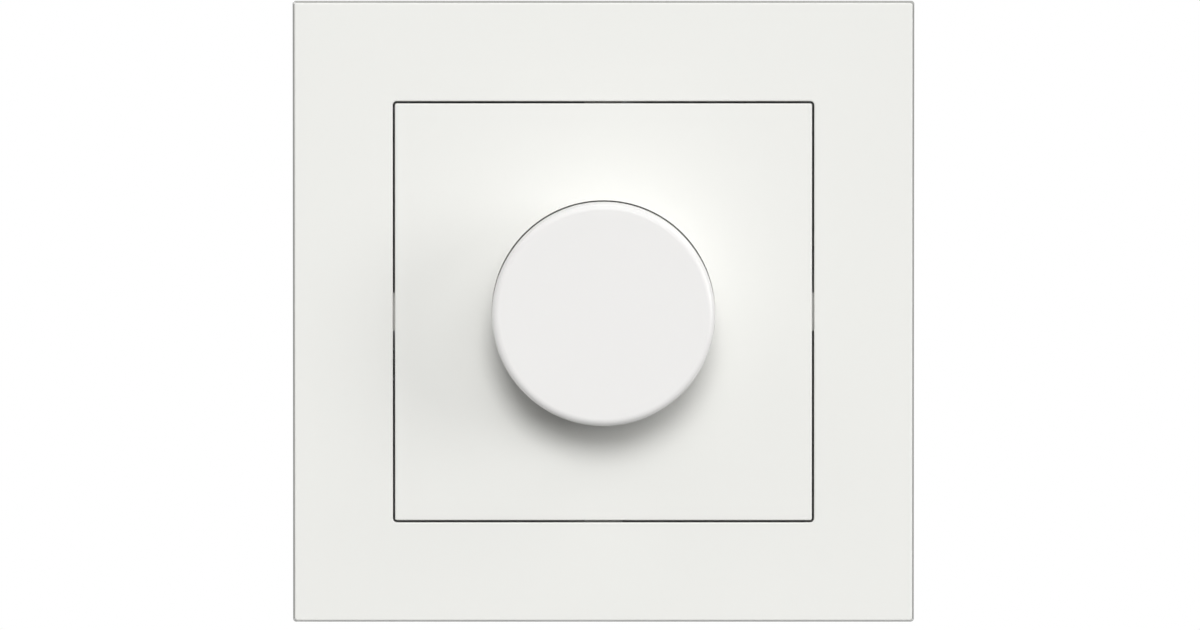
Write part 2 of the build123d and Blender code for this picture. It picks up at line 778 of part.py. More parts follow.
def claw():
    """A stamped claw that hangs on its pin: two rolled eyes, a fork for the screw and a toothed foot."""
    y0 = claw_place - claw_width / 2
    y1 = claw_place + claw_width / 2
    axis = -claw_pin_depth
    foot = axis - claw_length
    arm_outer = claw_inner + claw_thickness
    body = block(claw_inner, arm_outer, y0, y1, foot, axis)
    body += block(claw_inner, claw_inner + claw_foot, y0, y1, foot, foot + claw_thickness)
    pitch = claw_width / claw_teeth
    for n in range(claw_teeth):
        valley = Pos(claw_inner + claw_foot, y0 + n * pitch, foot + claw_thickness / 2)
        body -= valley * Rot(0, 0, 45) * Box(claw_tooth, claw_tooth, claw_thickness)
    body += bar(2 * knuckle_radius, y0, y0 + claw_knuckle_width, claw_pin_x, axis)
    body += bar(2 * knuckle_radius, y1 - claw_knuckle_width, y1, claw_pin_x, axis)
    slot_half = claw_screw_diameter / 2 + claw_slot_room
    lug_half = slot_half + claw_lug_prong
    low, high = claw_place - slot_half, claw_place + slot_half
    lug_top = axis - claw_lug_drop
    lug_back = lug_top - claw_thickness
    lug_outer = claw_screw_x + claw_lug_reach
    slot_end = claw_screw_x - claw_screw_diameter / 2 - claw_slot_inset
    lug = block(arm_outer, lug_outer, claw_place - lug_half, claw_place + lug_half, lug_back, lug_top)
    body += lug - block(slot_end, lug_outer, low, high, lug_back, lug_top)
    body -= block(claw_inner, arm_outer, low, high, foot + 2 * claw_thickness, lug_back)
    eyes = claw_width / 2 - claw_knuckle_width
    body -= block(claw_inner, arm_outer, claw_place - eyes, claw_place + eyes, lug_top, axis)
    return body - bar(claw_pin_diameter + 2 * claw_pin_fit, y0, y1, claw_pin_x, axis)


def claw_pins():
    """The two pins that the claws swing on."""
    reach = claw_width / 2 + claw_ear_gap + claw_ear
    pin = bar(claw_pin_diameter, claw_place - reach, claw_place + reach, claw_pin_x, -claw_pin_depth)
    return group([pin, half_turn(pin)])


def claw_screw():
    """The screw that draws one claw's fork towards the mounting plate."""
    return pan_screw(
        claw_screw_x, claw_place, mount_top, claw_screw_diameter, mount_top + claw_screw_length
    )


# Insert housing


def insert_outline(radius, flat, z0, z1):
    """A round body with a flat on each side."""
    return disc(2 * radius, z0, z1) & block(-flat, flat, -radius, radius, z0, z1)


def insert_housing():
    """A moulded cup with windows for the terminals, cooling slots and a sunk field for a label."""
    radius = housing_diameter / 2
    body = insert_outline(radius, housing_flat, housing_back, 0)
    body = fillet(body.edges().group_by(Axis.Z)[0], housing_edge_radius)
    body -= insert_outline(inside_radius, inside_flat, housing_inside, 0)
    within = housing_wall / 2
    inner = insert_outline(inside_radius + within, inside_flat + within, housing_back, 0)
    hole_depth = housing_screw_length + boss_hole_room
    for x, y in boss_places:
        body += disc(boss_diameter, -boss_depth, 0, x, y) & inner
        body -= disc(housing_screw_diameter + 2 * fixed_fit, -hole_depth, 0, x, y)
    for x in (-post_x, post_x):
        for y in (post_low, post_high):
            body += disc(post_diameter, housing_inside - housing_floor / 2, board_back, x, y)
    size = (terminal_width + 2 * terminal_gap, terminal_height + 2 * terminal_gap)
    for x in terminal_places:
        body -= slab(size, x, (terminal_bottom + terminal_top) / 2, housing_back, housing_inside)
    for n in range(vent_count):
        x = (n - (vent_count - 1) / 2) * vent_pitch
        body -= slot(vent_length, vent_width, x, vent_place, True, housing_back, housing_inside)
    field = slab((label_width, label_height), 0, label_place, housing_back, housing_back + label_depth)
    return body - fillet(field.edges().filter_by(Axis.Z), label_corner_radius)


def housing_screws():
    """The two screws that hold the mounting plate on the insert housing."""
    length = mount_top + housing_screw_length
    return group([pan_screw(x, y, mount_top, housing_screw_diameter, length) for x, y in boss_places])


# Circuit board and its parts


def circuit_board():
    """The round board with a flat on each side, on the housing's posts."""
    body = insert_outline(inside_radius - board_gap, inside_flat - board_gap, board_back, board_front)
    for x in terminal_places:
        body -= disc(busbar_hole, board_back, board_front, x, busbar_y)
    return body


def choke_core():
    """A ferrite ring."""
    z0 = board_front + choke_winding
    return ring(choke_diameter, choke_bore, z0, z0 + choke_height, 0, choke_place)


def choke_winding_coil():
    """The wire round the ring, as one sleeve that is open on one side."""
    z1 = board_front + choke_height + 2 * choke_winding
    gap = 2 * choke_winding_gap
    bore = choke_bore - 2 * choke_winding
    outside = sector(choke_outside, bore, board_front, z1, 90, choke_winding_spread)
    core = ring(
        choke_diameter + gap,
        choke_bore - gap,
        board_front + choke_winding - choke_winding_gap,
        z1 - choke_winding + choke_winding_gap,
    )
    return Pos(0, choke_place, 0) * (outside - core)


def box_capacitor(size, y):
    """A moulded capacitor that stands on the board."""
    body = slab(size, 0, y, board_front, board_front + size[2])
    upper = body.edges().group_by(Axis.Z)[-1]
    return fillet(upper + body.edges().filter_by(Axis.Z), capacitor_edge_radius)


def resistors():
    """Two resistors that lie side by side on the board, between the choke and the triac."""
    lift = board_front + resistor_diameter / 2
    y0 = switch_height / 2 + part_gap
    x0 = choke_outside / 2 + part_gap + resistor_diameter / 2
    places = (x0, x0 + resistor_pitch)
    return group([bar(resistor_diameter, y0, y0 + resistor_length, x, lift) for x in places])


def triac_body():
    """The moulded body, beside the heat spreader."""
    face = spreader_inner - triac_tab
    return block(triac_inner, face, -triac_width / 2, triac_width / 2, triac_body_bottom, triac_body_top)


def triac_tab_plate():
    """The metal tab against the heat spreader, with its three leads down to the board."""
    face = spreader_inner - triac_tab
    tab = block(face, spreader_inner, -triac_width / 2, triac_width / 2, triac_body_bottom, triac_tab_top)
    hole = Rot(0, 90, 0) * Cylinder(triac_tab_hole / 2, 4 * triac_tab)
    tab -= Pos(face, 0, triac_screw_level) * hole
    for n in (-1, 0, 1):
        size = (triac_tab, triac_lead)
        tab += slab(size, face + triac_tab / 2, n * triac_lead_pitch, board_front, triac_body_bottom)
    return tab


def triac_screw():
    """The screw that clamps the triac's tab to the heat spreader."""
    face = spreader_inner - triac_tab
    seat = Pos(face, 0, triac_screw_level) * Rot(0, -90, 0)
    length = triac_tab + spreader_thickness
    head = Pos(0, 0, screw_head_height / 2) * Cylinder(triac_screw_head / 2, screw_head_height)
    return seat * (head + Pos(0, 0, -length / 2) * Cylinder(triac_screw_diameter / 2, length))


def heat_spreader():
    """An angle that carries the triac's heat to the mounting plate."""
    half = spreader_width / 2
    body = block(triac_inner, spreader_outer, -half, half, -spreader_thickness, 0)
    body += block(spreader_inner, spreader_outer, -half, half, -spreader_length, 0)
    for sign in (-1, 1):
        body -= disc(rivet_diameter + 2 * fixed_fit, -spreader_thickness, 0, rivet_x, sign * rivet_place)
    hole = Rot(0, 90, 0) * Cylinder(triac_screw_diameter / 2 + fixed_fit, 2 * spreader_thickness)
    return body - Pos((spreader_inner + spreader_outer) / 2, 0, triac_screw_level) * hole


def spreader_rivets():
    """Two rivets through the mounting plate and the heat spreader."""
    rivets = []
    for sign in (-1, 1):
        y = sign * rivet_place
        head = disc(rivet_head_diameter, mount_top, mount_top + rivet_head, rivet_x, y)
        rivets.append(head + disc(rivet_diameter, -spreader_thickness, mount_top, rivet_x, y))
    return group(rivets)


def fuse_tube():
    """The fuse's glass tube."""
    outer = fuse_diameter - 2 * fuse_cap_wall
    y0, y1 = fuse_ends
    return bar(outer, y0 + fuse_cap_wall, y1 - fuse_cap_wall, fuse_x, fuse_axis)


def fuse_caps():
    """The metal cap on each end of the fuse."""
    caps = []
    inner = fuse_diameter - 2 * fuse_cap_wall
    for end, way in zip(fuse_ends, (1, -1)):
        cap = bar(fuse_diameter, end, end + way * fuse_cap_length, fuse_x, fuse_axis)
        bore = bar(inner, end + way * fuse_cap_wall, end + way * fuse_cap_length, fuse_x, fuse_axis)
        caps.append(cap - bore)
    return group(caps)


def fuse_clips():
    """A sprung fork on the board under each end of the fuse."""
    clips = []
    half = fuse_diameter / 2 + clip_thickness
    for end, way in zip(fuse_ends, (1, -1)):
        y = end + way * fuse_cap_length / 2
        top = fuse_axis + fuse_diameter / 4
        body = slab((2 * half, clip_width), fuse_x, y, board_front, top)
        inside = slab((fuse_diameter, clip_width), fuse_x, y, board_front + clip_thickness, top)
        clips.append(body - inside)
    return group(clips)


def trimmer_body():
    """The small preset for the lowest brightness."""
    body = slab((trimmer_width, trimmer_width), trimmer_x, trimmer_y, board_front, trimmer_top)
    hole = trimmer_spindle_diameter + 2 * trimmer_clearance
    return body - disc(hole, trimmer_top - trimmer_spindle_depth, trimmer_top, trimmer_x, trimmer_y)


def trimmer_spindle():
    """The preset's spindle, slotted for a screwdriver, in the mounting plate's window."""
    body = disc(
        trimmer_spindle_diameter, trimmer_top - trimmer_spindle_depth, mount_top, trimmer_x, trimmer_y
    )
    size = (trimmer_spindle_diameter, trimmer_slot)
    return body - slab(size, trimmer_x, trimmer_y, mount_top - trimmer_slot_depth, mount_top)


# Wire terminals


def terminal_block(x):
    """A moulded block with a funnel for the wire and a guide for the release button."""
    middle = (terminal_bottom + terminal_top) / 2
    body = slab((terminal_width, terminal_height), x, middle, terminal_back, board_back)
    body = fillet(body.edges().group_by(Axis.Z)[0], terminal_edge_radius)
    inside = (terminal_width - 2 * terminal_side, terminal_height - 2 * terminal_side)
    body -= slab(inside, x, middle, cavity_back, board_back)
    body -= disc(wire_hole_diameter, terminal_back, cavity_back, x, wire_y)
    funnel = Cone(wire_funnel_diameter / 2, wire_hole_diameter / 2, wire_funnel_depth)
    body -= Pos(x, wire_y, terminal_back + wire_funnel_depth / 2) * funnel
    guide = (button_width + 2 * button_gap, button_height + 2 * button_gap)
    return body - slab(guide, x, button_y, terminal_back, cavity_back)


def release_button(x):
    """A flanged button that presses the clamp spring off the wire."""
    size = (button_width, button_height)
    head = slab(size, x, button_y, terminal_back - button_proud, cavity_back)
    rear = head.edges().group_by(Axis.Z)[0]
    head = fillet(rear, button_edge_radius)
    flange = (button_width + 2 * button_flange, button_height + button_flange)
    head += slab(flange, x, button_y, cavity_back, button_flange_front)
    return head + slab(size, x, button_y, button_flange_front, button_stem_front)


def clamp_spring(x):
    """A bent leaf: one leg along the terminal's upper wall, the other across the wire's way."""
    top = terminal_top - terminal_side - leaf_gap - leaf_thickness / 2
    back = button_stem_front + leaf_gap + leaf_thickness
    tip = busbar_y + busbar_thickness / 2 + leaf_tip_gap + leaf_thickness
    points = [(top, board_back - leaf_gap), (top, back), (tip, back + leaf_slope)]
    line = FilletPolyline(*[(0, y, z) for y, z in points], radius=leaf_bend_radius)
    start = Plane(origin=line @ 0, z_dir=line % 0, x_dir=(1, 0, 0))
    return Pos(x, 0, 0) * sweep(start * Rectangle(leaf_width, leaf_thickness), path=line)


def busbar(x):
    """The copper strip that the wire is pressed against, with its pin in the board."""
    body = slab((busbar_width, busbar_thickness), x, busbar_y, board_back - busbar_length, board_back)
    return body + slab((busbar_pin, busbar_thickness), x, busbar_y, board_back, board_front)


pieces = {
    "cover_frame": cover_frame(),
    "centre_plate": centre_plate(),
    "knob": knob(),
    "knob_clip": knob_clip(),
    "ring_nut": ring_nut(),
    "bush": bush(),
    "bush_nut": bush_nut(),
    "shaft": shaft(),
    "shaft_retaining_ring": shaft_retaining_ring(),
    "potentiometer_cup": potentiometer_cup(),
    "rotor": rotor(),
    "wiper": wiper(),
    "track_wafer": track_wafer(),
    "resistive_track": resistive_track(),
    "potentiometer_pins": potentiometer_pins(),
    "switch_housing": switch_housing(),
    "switch_base": switch_base_plate(),
    "switch_plunger": switch_plunger(),
    "return_spring": return_spring(),
    "contact_rocker": contact_rocker(),
    "moving_contact": moving_contact(),
    "fixed_contacts": fixed_contacts(),
    "mounting_plate": mounting_plate(),
    "claw_right": claw(),
    "claw_left": half_turn(claw()),
    "claw_pins": claw_pins(),
    "claw_screw_right": claw_screw(),
    "claw_screw_left": half_turn(claw_screw()),
    "insert_housing": insert_housing(),
    "housing_screws": housing_screws(),
    "circuit_board": circuit_board(),
    "choke_core": choke_core(),
    "choke_winding": choke_winding_coil(),
    "suppression_capacitor": box_capacitor(big_capacitor, big_capacitor_y),
    "timing_capacitor": box_capacitor(small_capacitor, small_capacitor_y),
    "resistors": resistors(),
    "triac_body": triac_body(),
    "triac_tab": triac_tab_plate(),
    "triac_screw": triac_screw(),
    "heat_spreader": heat_spreader(),
    "spreader_rivets": spreader_rivets(),
    "fuse_tube": fuse_tube(),
    "fuse_caps": fuse_caps(),
    "fuse_clips": fuse_clips(),
    "trimmer_body": trimmer_body(),
    "trimmer_spindle": trimmer_spindle(),
}
for number, place in enumerate(terminal_places, 1):
    pieces[f"terminal_block_{number}"] = terminal_block(place)
    pieces[f"release_button_{number}"] = release_button(place)
    pieces[f"clamp_spring_{number}"] = clamp_spring(place)
    pieces[f"busbar_{number}"] = busbar(place)

os.makedirs("parts", exist_ok=True)
for name, piece in pieces.items():
    export_step(Rot(90, 0, 0) * piece, f"parts/{name}.step")
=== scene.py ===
"""Looks of a flush-mounted rotary dimmer: finishes, screw threads, springs, floor, light and camera."""

import json

import bpy
import numpy as np
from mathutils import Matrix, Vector


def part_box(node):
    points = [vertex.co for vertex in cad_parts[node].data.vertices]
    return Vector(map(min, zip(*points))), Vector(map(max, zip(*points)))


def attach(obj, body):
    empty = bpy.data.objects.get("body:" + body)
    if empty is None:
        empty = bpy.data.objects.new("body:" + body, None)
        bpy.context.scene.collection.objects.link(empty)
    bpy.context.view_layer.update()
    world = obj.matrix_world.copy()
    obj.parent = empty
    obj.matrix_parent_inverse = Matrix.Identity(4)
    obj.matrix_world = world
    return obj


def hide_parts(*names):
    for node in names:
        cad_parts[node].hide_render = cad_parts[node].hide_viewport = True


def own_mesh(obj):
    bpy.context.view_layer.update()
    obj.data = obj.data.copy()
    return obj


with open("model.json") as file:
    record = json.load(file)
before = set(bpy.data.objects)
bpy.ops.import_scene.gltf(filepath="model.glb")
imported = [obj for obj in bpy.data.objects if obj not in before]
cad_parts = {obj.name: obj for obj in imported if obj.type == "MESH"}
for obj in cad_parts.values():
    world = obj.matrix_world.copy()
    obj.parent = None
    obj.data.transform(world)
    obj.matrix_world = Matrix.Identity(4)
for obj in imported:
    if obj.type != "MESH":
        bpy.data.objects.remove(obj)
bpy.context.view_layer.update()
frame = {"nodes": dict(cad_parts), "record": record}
nodes = frame["nodes"]
scene = bpy.context.scene
MM = 0.001
FULL_TURN = 2 * np.pi


# Shader node helpers


class Wiring:
    """Adds nodes to one node tree, sets their sockets and links them."""

    def __init__(self, tree):
        self.tree = tree

    def node(self, kind, **settings):
        made = self.tree.nodes.new(kind)
        for name, value in settings.items():
            setattr(made, name, value)
        return made

    def link(self, source, target):
        self.tree.links.new(source, target)

    def set(self, made, **values):
        for name, value in values.items():
            made.inputs[name.replace("_", " ")].default_value = value
        return made

    def math(self, operation, left, right):
        made = self.node("ShaderNodeMath", operation=operation)
        for socket, value in zip(made.inputs, (left, right)):
            if isinstance(value, (int, float)):
                socket.default_value = value
            else:
                self.link(value, socket)
        return made.outputs[0]


def effect(name, *inputs):
    """An empty shader node group: these float inputs, and a shade, a roughness and a height as outputs."""
    tree = bpy.data.node_groups.new(name, "ShaderNodeTree")
    for label in inputs:
        tree.interface.new_socket(label, in_out="INPUT", socket_type="NodeSocketFloat")
    for label in ("Shade", "Roughness", "Height"):
        tree.interface.new_socket(label, in_out="OUTPUT", socket_type="NodeSocketFloat")
    wiring = Wiring(tree)
    return tree, wiring, wiring.node("NodeGroupInput"), wiring.node("NodeGroupOutput")


def wandering_dullness(wiring, given, swing):
    """The group's dullness, moved by its spread times a swing about zero."""
    moved = wiring.math("MULTIPLY", swing, given.outputs["Spread"])
    return wiring.math("ADD", moved, given.outputs["Dullness"])


NOISE_MIDDLE = 0.5


def moulded_skin():
    """Moulded plastic: a cloudy shade from the melt's flow, a fine eroded grain for dullness and height."""
    tree, wiring, given, result = effect("moulded_skin", "Flow", "Grain", "Dullness", "Spread")
    place = wiring.node("ShaderNodeTexCoord").outputs["Object"]
    flow = wiring.set(wiring.node("ShaderNodeTexNoise"), Detail=3.0, Roughness=0.55)
    grain = wiring.set(wiring.node("ShaderNodeTexNoise"), Detail=2.0, Roughness=0.6)
    for noise, scale in ((flow, "Flow"), (grain, "Grain")):
        wiring.link(place, noise.inputs["Vector"])
        wiring.link(given.outputs[scale], noise.inputs["Scale"])
    both = wiring.math("ADD", flow.outputs["Fac"], grain.outputs["Fac"])
    swing = wiring.math("SUBTRACT", both, 2 * NOISE_MIDDLE)
    wiring.link(flow.outputs["Fac"], result.inputs["Shade"])
    wiring.link(wandering_dullness(wiring, given, swing), result.inputs["Roughness"])
    wiring.link(grain.outputs["Fac"], result.inputs["Height"])
    return tree


# Rolling draws the lines out along X. The scale brings lines plus crystals back to a shade of up to one.
ROLLING_STRETCH = (1.0, 40.0, 40.0)
CRYSTAL_SHARE = 0.2
SHADE_SCALE = 0.833


def rolled_metal():
    """Plated sheet: long rolling lines along X, crossed with small crystal patches of the plating."""
    tree, wiring, given, result = effect("rolled_metal", "Lines", "Patches", "Dullness", "Spread")
    place = wiring.node("ShaderNodeTexCoord").outputs["Object"]
    stretch = wiring.set(wiring.node("ShaderNodeMapping"), Scale=ROLLING_STRETCH)
    wiring.link(place, stretch.inputs["Vector"])
    lines = wiring.set(wiring.node("ShaderNodeTexNoise"), Detail=4.0, Roughness=0.6)
    wiring.link(stretch.outputs["Vector"], lines.inputs["Vector"])
    wiring.link(given.outputs["Lines"], lines.inputs["Scale"])
    patches = wiring.node("ShaderNodeTexVoronoi")
    wiring.link(place, patches.inputs["Vector"])
    wiring.link(given.outputs["Patches"], patches.inputs["Scale"])
    crystal = wiring.node("ShaderNodeSeparateColor")
    wiring.link(patches.outputs["Color"], crystal.inputs["Color"])
    sparkle = wiring.math("MULTIPLY", crystal.outputs["Red"], CRYSTAL_SHARE)
    shade = wiring.math("MULTIPLY", wiring.math("ADD", lines.outputs["Fac"], sparkle), SHADE_SCALE)
    swing = wiring.math("SUBTRACT", shade, NOISE_MIDDLE)
    wiring.link(shade, result.inputs["Shade"])
    wiring.link(wandering_dullness(wiring, given, swing), result.inputs["Roughness"])
    wiring.link(lines.outputs["Fac"], result.inputs["Height"])
    return tree


SKIN = moulded_skin()
ROLLED = rolled_metal()

# Places of the colour sockets on a mix node, where the sockets of other kinds have the same names
MIX_DARK, MIX_LIGHT, MIX_RESULT = 6, 7, 2
BUMP_REACH = 0.02 * MM


def finish_material(name, tree, values, dark, light, depth, **shader_values):
    """A finish: the effect's shade mixes two colours, its roughness and height go to the shader.

    values are the effect's inputs, depth is the bump's strength, and shader_values are plain shader sockets.
    """
    material = bpy.data.materials.new(name)
    material.use_nodes = True
    wiring = Wiring(material.node_tree)
    shader = wiring.set(material.node_tree.nodes["Principled BSDF"], **shader_values)
    skin = wiring.set(wiring.node("ShaderNodeGroup", node_tree=tree), **values)
    colours = wiring.node("ShaderNodeMix", data_type="RGBA")
    wiring.link(skin.outputs["Shade"], colours.inputs["Factor"])
    colours.inputs[MIX_DARK].default_value = (*dark, 1.0)
    colours.inputs[MIX_LIGHT].default_value = (*light, 1.0)
    wiring.link(colours.outputs[MIX_RESULT], shader.inputs["Base Color"])
    wiring.link(skin.outputs["Roughness"], shader.inputs["Roughness"])
    bump = wiring.set(wiring.node("ShaderNodeBump"), Strength=depth, Distance=BUMP_REACH)
    wiring.link(skin.outputs["Height"], bump.inputs["Height"])
    wiring.link(bump.outputs["Normal"], shader.inputs["Normal"])
    return material


def shades(colour, mottle):
    """The dark and the light end of a colour that wanders by mottle about its middle."""
    dark = [channel * (1 - mottle) for channel in colour]
    light = [min(1.0, channel * (1 + mottle)) for channel in colour]
    return dark, light


PLASTIC_SPREAD = 0.08


def plastic(name, colour, dullness, grain=4000.0, depth=0.1, mottle=0.03, flow=30.0, **shader_values):
    """A moulded plastic finish, with the grain of its mould."""
    values = {"Flow": flow, "Grain": grain, "Dullness": dullness, "Spread": PLASTIC_SPREAD}
    return finish_material(name, SKIN, values, *shades(colour, mottle), depth, **shader_values)


METAL_PATCHES = 900.0
METAL_SPREAD = 0.25
METAL_MOTTLE = 0.1
METAL_DEPTH = 0.08


def metal(name, colour, dullness, lines=60.0):
    """A plated or bare metal finish with rolling lines."""
    values = {"Lines": lines, "Patches": METAL_PATCHES, "Dullness": dullness, "Spread": METAL_SPREAD}
    return finish_material(name, ROLLED, values, *shades(colour, METAL_MOTTLE), METAL_DEPTH, Metallic=1.0)


def fuse_glass():
    """The fuse's glass: clear, with a faint waviness from drawing the tube."""
    values = {"Flow": 200.0, "Grain": 1200.0, "Dullness": 0.05, "Spread": 0.03}
    dark, light = (0.92, 0.96, 0.95), (0.97, 0.99, 0.98)
    return finish_material(
        "fuse_glass", SKIN, values, dark, light, depth=0.02, IOR=1.5, Transmission_Weight=1.0
    )


# Finishes of this dimmer's pieces

PLASTICS = {
    "cover_white": dict(colour=(0.778, 0.779, 0.751), dullness=0.22, grain=9000.0, depth=0.03, mottle=0.004),
    "knob_white": dict(colour=(0.786, 0.779, 0.768), dullness=0.2, grain=9000.0, depth=0.03, mottle=0.004),
    "shaft_plastic": dict(colour=(0.72, 0.71, 0.66), dullness=0.4),
    "black_moulding": dict(colour=(0.022, 0.022, 0.024), dullness=0.45, depth=0.2, mottle=0.15),
    "housing_grey": dict(colour=(0.05, 0.052, 0.056), dullness=0.5, grain=3000.0, depth=0.25, mottle=0.12),
    "terminal_grey": dict(colour=(0.3, 0.31, 0.32), dullness=0.45, depth=0.15, mottle=0.06),
    "release_orange": dict(colour=(0.72, 0.2, 0.03), dullness=0.35, mottle=0.05),
    "wafer": dict(colour=(0.3, 0.19, 0.09), dullness=0.6, grain=1500.0, mottle=0.15),
    "carbon": dict(colour=(0.02, 0.02, 0.02), dullness=0.7, mottle=0.2),
    "board": dict(colour=(0.03, 0.16, 0.05), dullness=0.35, grain=2500.0, mottle=0.1),
    "ferrite": dict(colour=(0.05, 0.047, 0.046), dullness=0.65, grain=2500.0, depth=0.3, mottle=0.2),
    "capacitor_box": dict(colour=(0.6, 0.46, 0.09), dullness=0.35, mottle=0.05),
    "resistor_lacquer": dict(colour=(0.3, 0.46, 0.6), dullness=0.3, mottle=0.08),
}
METALS = {
    "zinc_steel": dict(colour=(0.62, 0.64, 0.66), dullness=0.34),
    "dull_zinc": dict(colour=(0.4, 0.41, 0.43), dullness=0.44, lines=200.0),
    "screw_steel": dict(colour=(0.56, 0.58, 0.61), dullness=0.28, lines=120.0),
    "spring_steel": dict(colour=(0.5, 0.5, 0.51), dullness=0.25, lines=150.0),
    "nickel_brass": dict(colour=(0.7, 0.66, 0.57), dullness=0.25),
    "die_cast": dict(colour=(0.58, 0.58, 0.59), dullness=0.5, lines=400.0),
    "contact_metal": dict(colour=(0.8, 0.78, 0.74), dullness=0.2),
    "copper": dict(colour=(0.72, 0.38, 0.22), dullness=0.28),
    "tinned": dict(colour=(0.66, 0.66, 0.67), dullness=0.4),
}
FINISHES = {name: plastic(name, **look) for name, look in PLASTICS.items()}
FINISHES.update({name: metal(name, **look) for name, look in METALS.items()})
FINISHES["fuse_glass"] = fuse_glass()

# The claws share the mounting plate's slot, but their zinc is duller
CLAW_PIECES = ("claw_right", "claw_left", "claw_pins")
for subpart in frame["record"]["subparts"]:
    shape = nodes[subpart["node"]]
    finish_name = "dull_zinc" if subpart["node"] in CLAW_PIECES else subpart["material_slot"]
    shape.data.materials.clear()
    shape.data.materials.append(FINISHES[finish_name])


def surface(name, points, material, closed):
    """A mesh from a grid of points, row by row.

    A closed one is a profile carried along a path: each row's last point joins its first, and a flat cap
    ends the first and the last row.
    """
    rows, columns = points.shape[:2]
    index = np.arange(rows * columns).reshape(rows, columns)
    here = index if closed else index[:, :-1]
    after = np.roll(index, -1, axis=1) if closed else index[:, 1:]
    faces = np.stack([here[:-1], after[:-1], after[1:], here[1:]], axis=-1).reshape(-1, 4).tolist()
    if closed:
        faces += [index[0, ::-1].tolist(), index[-1].tolist()]
    mesh = bpy.data.meshes.new(name)
    mesh.from_pydata(points.reshape(-1, 3).tolist(), [], faces)
    mesh.materials.append(material)
    made = bpy.data.objects.new(name, mesh)
    scene.collection.objects.link(made)
    return made


# Threads of the claw screws

STEPS_PER_TURN = 48
THREAD_CORE = 1.5 * MM
THREAD_HEIGHT = 0.14 * MM
THREAD_SINK = 0.05 * MM
THREAD_PITCH = 0.5 * MM
THREAD_FLANK = 0.46
THREAD_START = 1.5 * MM
THREAD_END_MARGIN = 0.8 * MM


def thread_ridge(name, axis, start_y, end_y):
    """A screw thread: a V profile carried along a helix about an axis parallel to Y.

    At turn angle t the helix stands at y = start_y + pitch * t / 2 pi. The profile is a triangle whose base
    lies THREAD_SINK below the core's surface, THREAD_FLANK of a pitch to either side of the crest, and whose
    crest stands THREAD_HEIGHT above the core. Over the first and last half turn the crest runs down to the
    base, as a rolled thread runs out.
    """
    turns = (end_y - start_y) / THREAD_PITCH
    angle = np.linspace(0.0, FULL_TURN * turns, int(STEPS_PER_TURN * turns))[:, None]
    runout = np.clip(np.minimum(angle, angle[-1] - angle) / np.pi, 0.0, 1.0)
    crest = THREAD_HEIGHT * runout - THREAD_SINK * (1 - runout)
    base = np.full_like(crest, -THREAD_SINK)
    radius = THREAD_CORE + np.concatenate([base, crest, base], axis=1)
    flanks = np.array([[-THREAD_FLANK, 0.0, THREAD_FLANK]])
    along = start_y + THREAD_PITCH * (angle / FULL_TURN + flanks)
    points = np.stack([axis.x + radius * np.cos(angle), along, axis.z + radius * np.sin(angle)], axis=-1)
    return surface(name, points, FINISHES["screw_steel"], closed=True)


for side in ("right", "left"):
    low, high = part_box(f"claw_screw_{side}")
    axis = (low + high) / 2
    thread = thread_ridge(f"claw_screw_thread_{side}", axis, THREAD_START, high.y - THREAD_END_MARGIN)
    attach(thread, f"claw_screw_{side}")


# Return spring of the knob, in place of the model's plain spring part

SPRING_WIRE_RADIUS = 0.25 * MM
SPRING_WIRE_SIDES = 16
SPRING_TURNS = 3.0


def wound_spring(name, low, high):
    """A wound spring that fills a box: a round wire carried along a helix about an axis parallel to Y.

    At turn angle t the wire's middle stands coil_radius off the axis, at an even climb from one end to the
    other. The wire's circle lies across the helix: its two directions are the one away from the axis and the
    one square to that and to the helix.
    """
    middle = (low + high) / 2
    coil_radius = (high.x - low.x) / 2 - SPRING_WIRE_RADIUS
    start_y, end_y = low.y + SPRING_WIRE_RADIUS, high.y - SPRING_WIRE_RADIUS
    angle = np.linspace(0.0, FULL_TURN * SPRING_TURNS, int(STEPS_PER_TURN * SPRING_TURNS))
    climb = (end_y - start_y) / angle[-1]
    still = np.zeros_like(angle)
    away = np.stack([np.cos(angle), still, np.sin(angle)], axis=-1)
    forward = np.stack([-np.sin(angle) * coil_radius, still + climb, np.cos(angle) * coil_radius], axis=-1)
    forward /= np.linalg.norm(forward, axis=-1, keepdims=True)
    across = np.cross(forward, away)
    axis_line = np.stack([still + middle.x, start_y + climb * angle, still + middle.z], axis=-1)
    helix = axis_line + coil_radius * away
    around = np.linspace(0.0, FULL_TURN, SPRING_WIRE_SIDES, endpoint=False)[None, :, None]
    circle = np.cos(around) * away[:, None] + np.sin(around) * across[:, None]
    points = helix[:, None] + SPRING_WIRE_RADIUS * circle
    return surface(name, points, FINISHES["spring_steel"], closed=True)


low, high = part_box("return_spring")
coil = wound_spring("return_coil", low, high)
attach(coil, "base")
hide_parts("return_spring")
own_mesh(coil)


# Clamp springs of the wire terminals, in place of the model's plain spring parts

LEAF_LEG = 3.5 * MM
LEAF_DROP = 2.2 * MM
LEAF_REACH = 8.5 * MM
LEAF_BEND = 0.8 * MM
LEAF_THICKNESS = 0.4 * MM
LEAF_EDGE = 0.05 * MM
LEAF_STEPS = 121


